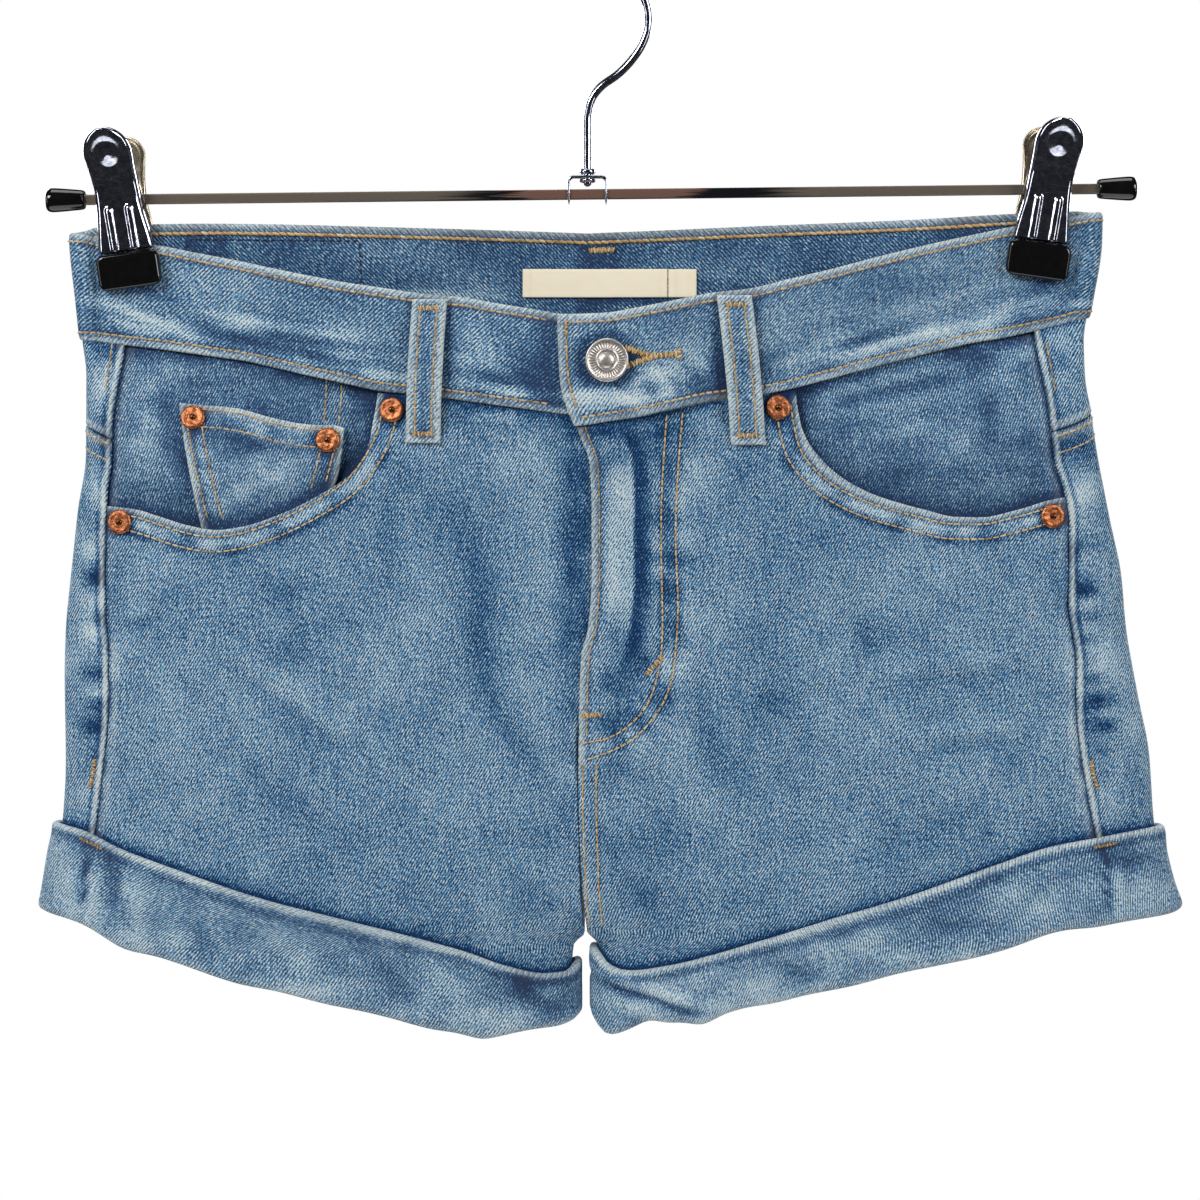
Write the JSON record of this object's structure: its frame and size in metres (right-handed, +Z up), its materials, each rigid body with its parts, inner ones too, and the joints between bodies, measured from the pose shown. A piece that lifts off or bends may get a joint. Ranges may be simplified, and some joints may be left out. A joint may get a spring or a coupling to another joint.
{
  "type": "denim shorts on a clip hanger",
  "caption": "Mid-blue denim jean shorts with rolled cuffs, hung flat by the waistband from a chrome clip hanger with a swivel hook.",
  "frame": {"origin": "inner top of the hook's crown, where the hanger rests on a rail", "axes": "+X to the viewer's right seen from the front, +Y to the back of the garment, +Z up"},
  "size_m": [0.4239, 0.0587, 0.3985],
  "materials": {
    "denim": "washed twill",
    "denim_dark": "darker, less washed twill",
    "leather": "smooth, plain",
    "label": "woven satin label and zip tape",
    "copper": "antique copper plate",
    "steel": "worn nickel",
    "chrome": "polished",
    "rubber": "dipped, glossy"
  },
  "bodies": {
    "root": {"back_left": "denim", "back_patch": "leather", "back_pocket_left": "denim", "back_pocket_right": "denim", "back_right": "denim", "bar": "chrome", "bracket": "chrome", "button": "steel", "cap_left": "rubber", "cap_right": "rubber", "clip_left_back": "chrome", "clip_left_front": "chrome", "clip_left_pad_back": "rubber", "clip_left_pad_front": "rubber", "clip_left_spring": "chrome", "clip_right_back": "chrome", "clip_right_front": "chrome", "clip_right_pad_back": "rubber", "clip_right_pad_front": "rubber", "clip_right_spring": "chrome", "coin_pocket": "denim", "cuff_left": "denim", "cuff_right": "denim", "fly_shield": "denim_dark", "front_left": "denim", "front_right": "denim", "hook": "chrome", "hook_collar": "chrome", "hook_nut": "chrome", "label": "label", "loop_back": "denim", "loop_front_left": "denim", "loop_front_right": "denim", "loop_side_left": "denim", "loop_side_right": "denim", "pocket_facing_left": "denim", "pocket_facing_right": "denim", "rivet_1": "copper", "rivet_2": "copper", "rivet_3": "copper", "rivet_4": "copper", "rivet_5": "copper", "rivet_6": "copper", "size_tab": "label", "waistband": "denim", "yoke_left": "denim", "yoke_right": "denim", "zip": "label"}
  },
  "joints": []
}
